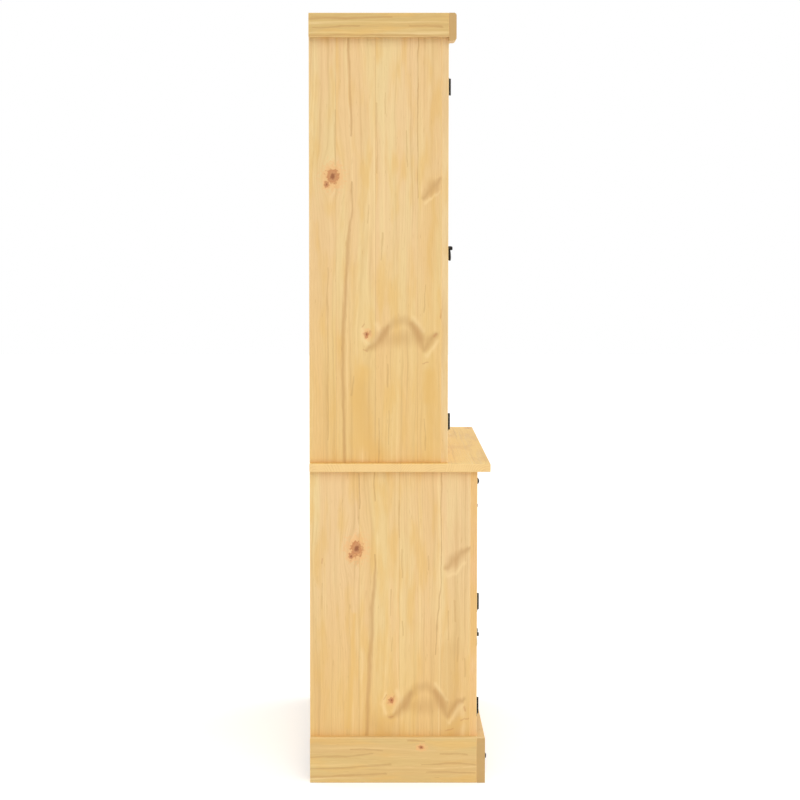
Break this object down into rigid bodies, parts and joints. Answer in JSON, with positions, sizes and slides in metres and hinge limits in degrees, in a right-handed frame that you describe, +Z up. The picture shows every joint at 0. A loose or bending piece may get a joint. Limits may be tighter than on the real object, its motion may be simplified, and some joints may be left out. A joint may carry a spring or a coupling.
{
  "type": "display cabinet",
  "caption": "Two-part waxed pine cabinet: shallow hutch with glazed doors on a deeper base with a wide drawer over fielded-panel doors, black iron surface hinges and drop pulls.",
  "frame": {"origin": "on the floor, under the middle of the whole cabinet", "axes": "+Z up, +X to the right as seen from the front, the doors face -Y"},
  "size_m": [0.8, 0.4, 1.7],
  "materials": {
    "pine": "pale golden pine, thin satin wax",
    "iron": "blackened, satin",
    "glass": "clear float glass",
    "catch": "moulded, matt"
  },
  "bodies": {
    "root": {"base_back_boards": "pine", "base_floor": "pine", "base_frame_rails": "pine", "base_frame_stiles": "pine", "base_hinge_frame_leaves": "iron", "base_shelf": "pine", "base_shelf_battens": "pine", "base_side_left": "pine", "base_side_right": "pine", "cornice_front": "pine", "cornice_sides": "pine", "door_catches": "catch", "drawer_deck": "pine", "drawer_guides": "pine", "drawer_stops": "pine", "hutch_back_boards": "pine", "hutch_floor": "pine", "hutch_frame_rails": "pine", "hutch_frame_stiles": "pine", "hutch_hinge_frame_leaves": "iron", "hutch_keys": "pine", "hutch_shelf_battens": "pine", "hutch_shelves": "pine", "hutch_side_left": "pine", "hutch_side_right": "pine", "hutch_top": "pine", "iron_studs": "iron", "plinth_front": "pine", "plinth_sides": "pine", "worktop": "pine", "worktop_battens": "pine"},
    "base_door_left": {"base_door_left_frame": "pine", "base_door_left_hinge_leaves": "iron", "base_door_left_panel": "pine", "base_door_left_pull_post": "iron"},
    "base_left_drop": {"base_door_left_pull_drop": "iron"},
    "base_door_right": {"base_door_right_frame": "pine", "base_door_right_hinge_leaves": "iron", "base_door_right_panel": "pine", "base_door_right_pull_post": "iron"},
    "base_right_drop": {"base_door_right_pull_drop": "iron"},
    "hutch_door_left": {"hutch_door_left_beads": "pine", "hutch_door_left_frame": "pine", "hutch_door_left_glass": "glass", "hutch_door_left_hinge_leaves": "iron", "hutch_door_left_pull_post": "iron"},
    "hutch_left_drop": {"hutch_door_left_pull_drop": "iron"},
    "hutch_door_right": {"hutch_door_right_beads": "pine", "hutch_door_right_frame": "pine", "hutch_door_right_glass": "glass", "hutch_door_right_hinge_leaves": "iron", "hutch_door_right_pull_post": "iron"},
    "hutch_right_drop": {"hutch_door_right_pull_drop": "iron"},
    "drawer": {"drawer_front": "pine", "drawer_sides": "pine", "drawer_back": "pine", "drawer_bottom": "pine", "drawer_pull_post": "iron"},
    "drawer_drop": {"drawer_pull_drop": "iron"}
  },
  "joints": [
    {"name": "base_door_left_hinge", "type": "hinge", "parent": "root", "child": "base_door_left", "pos_m": [-0.336, -0.17545, 0.2785], "axis": [0, 0, -1], "range_deg": [0, 165]},
    {"name": "base_left_drop_swing", "type": "hinge", "parent": "base_door_left", "child": "base_left_drop", "pos_m": [-0.0235, -0.1895, 0.2565], "axis": [-1, 0, 0], "range_deg": [0, 75]},
    {"name": "base_door_right_hinge", "type": "hinge", "parent": "root", "child": "base_door_right", "pos_m": [0.336, -0.17545, 0.2785], "axis": [0, 0, 1], "range_deg": [0, 165]},
    {"name": "base_right_drop_swing", "type": "hinge", "parent": "base_door_right", "child": "base_right_drop", "pos_m": [0.0235, -0.1895, 0.2565], "axis": [-1, 0, 0], "range_deg": [0, 75]},
    {"name": "hutch_door_left_hinge", "type": "hinge", "parent": "root", "child": "hutch_door_left", "pos_m": [-0.336, -0.10945, 1.1735], "axis": [0, 0, -1], "range_deg": [0, 165]},
    {"name": "hutch_left_drop_swing", "type": "hinge", "parent": "hutch_door_left", "child": "hutch_left_drop", "pos_m": [-0.0235, -0.1235, 1.185], "axis": [-1, 0, 0], "range_deg": [0, 75]},
    {"name": "hutch_door_right_hinge", "type": "hinge", "parent": "root", "child": "hutch_door_right", "pos_m": [0.336, -0.10945, 1.1735], "axis": [0, 0, 1], "range_deg": [0, 165]},
    {"name": "hutch_right_drop_swing", "type": "hinge", "parent": "hutch_door_right", "child": "hutch_right_drop", "pos_m": [0.0235, -0.1235, 1.185], "axis": [-1, 0, 0], "range_deg": [0, 75]},
    {"name": "drawer_slide", "type": "slide", "parent": "root", "child": "drawer", "axis": [0, -1, 0], "range_m": [0, 0.25]},
    {"name": "drawer_drop_swing", "type": "hinge", "parent": "drawer", "child": "drawer_drop", "pos_m": [0, -0.187, 0.566], "axis": [-1, 0, 0], "range_deg": [0, 75]}
  ]
}
